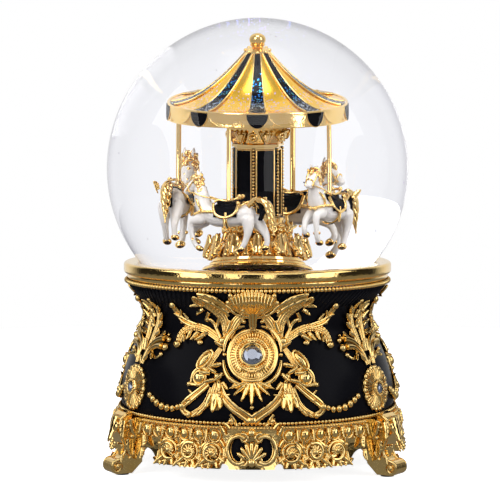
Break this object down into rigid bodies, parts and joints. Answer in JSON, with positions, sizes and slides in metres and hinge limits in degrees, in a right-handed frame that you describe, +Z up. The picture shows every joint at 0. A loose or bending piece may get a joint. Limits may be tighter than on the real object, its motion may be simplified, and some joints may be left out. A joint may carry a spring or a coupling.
{
  "type": "carousel music box",
  "caption": "Musical water globe with a turning horse carousel, on a round black and gold footed base with a wind-up movement.",
  "frame": {"origin": "on the spindle axis at the table plane, midway between the feet", "axes": "+Z up along the spindle and globe axis, -Y towards the front medallion, +X to the viewer's right"},
  "size_m": [0.12, 0.1264, 0.1782],
  "materials": {
    "black_enamel": "gloss black enamel over cast resin",
    "gold_plate": "polished gold plate",
    "felt": "black felt",
    "crystal": "faceted, foiled at the back",
    "globe_glass": "clear blown glass",
    "rubber_black": "moulded",
    "glitter_resin": "black resin strewn with glitter",
    "black_board": "matt",
    "steel": "nickel plated",
    "brass": "turned and stamped",
    "porcelain": "glazed ivory white with gilding"
  },
  "bodies": {
    "base": {"base_body": "black_enamel", "globe_ring": "gold_plate", "upper_beads": "gold_plate", "lower_beads": "gold_plate", "plinth": "gold_plate", "plinth_ornament_front": "gold_plate", "plinth_ornament_right": "gold_plate", "plinth_ornament_left": "gold_plate", "leg_right": "gold_plate", "leg_rear": "gold_plate", "leg_left": "gold_plate", "foot_pads": "felt", "medallion_front": "gold_plate", "medallion_right": "gold_plate", "medallion_left": "gold_plate", "medallion_crystals": "crystal", "rosette_right": "gold_plate", "rosette_rear": "gold_plate", "rosette_left": "gold_plate", "rosette_crystals": "crystal", "scrollwork_front": "gold_plate", "scrollwork_right": "gold_plate", "scrollwork_left": "gold_plate", "glass_globe": "globe_glass", "stopper": "rubber_black", "gland_bush": "steel", "spindle_seal": "rubber_black", "mound": "glitter_resin", "bottom_plate": "black_board", "plate_screws": "steel", "movement_plate": "steel", "movement_screws": "steel", "comb": "steel", "comb_screws": "steel", "drum_bearings": "steel", "governor_bracket": "brass"},
    "winding_key": {"winding_key": "brass"},
    "carousel": {"spring_barrel": "brass", "mainspring": "steel", "coupling": "brass", "spindle": "steel", "pedestal": "gold_plate", "column": "black_enamel", "column_frame": "gold_plate", "capital": "gold_plate", "canopy": "gold_plate", "canopy_stripes": "black_enamel", "valance": "gold_plate", "finial": "gold_plate", "pole_1": "gold_plate", "pole_2": "gold_plate", "pole_3": "gold_plate", "pole_4": "gold_plate", "horse_1": "porcelain", "horse_2": "porcelain", "horse_3": "porcelain", "horse_4": "porcelain"},
    "music_drum": {"music_drum": "brass"},
    "governor_wheel": {"governor_wheel": "brass"},
    "governor_fan": {"governor_fan": "brass"}
  },
  "joints": [
    {"name": "carousel_spin", "type": "hinge", "parent": "base", "child": "carousel", "pos_m": [0, 0, 0.06], "axis": [0, 0, 1], "continuous": true},
    {"name": "key_turn", "type": "hinge", "parent": "base", "child": "winding_key", "pos_m": [0, 0, 0.02], "axis": [0, 0, 1], "continuous": true},
    {"name": "drum_spin", "type": "hinge", "parent": "base", "child": "music_drum", "pos_m": [0.02, 0, 0.03814], "axis": [1, 0, 0], "continuous": true},
    {"name": "governor_wheel_spin", "type": "hinge", "parent": "base", "child": "governor_wheel", "pos_m": [0.036, 0.01014, 0.03814], "axis": [1, 0, 0], "continuous": true},
    {"name": "governor_fan_spin", "type": "hinge", "parent": "base", "child": "governor_fan", "pos_m": [0.0372, 0.0157, 0.03814], "axis": [0, 0, 1], "continuous": true}
  ],
  "couplings": [
    {"joint": "drum_spin", "follows": "carousel_spin", "ratio": 4},
    {"joint": "governor_wheel_spin", "follows": "carousel_spin", "ratio": -12},
    {"joint": "governor_fan_spin", "follows": "carousel_spin", "ratio": 240}
  ]
}
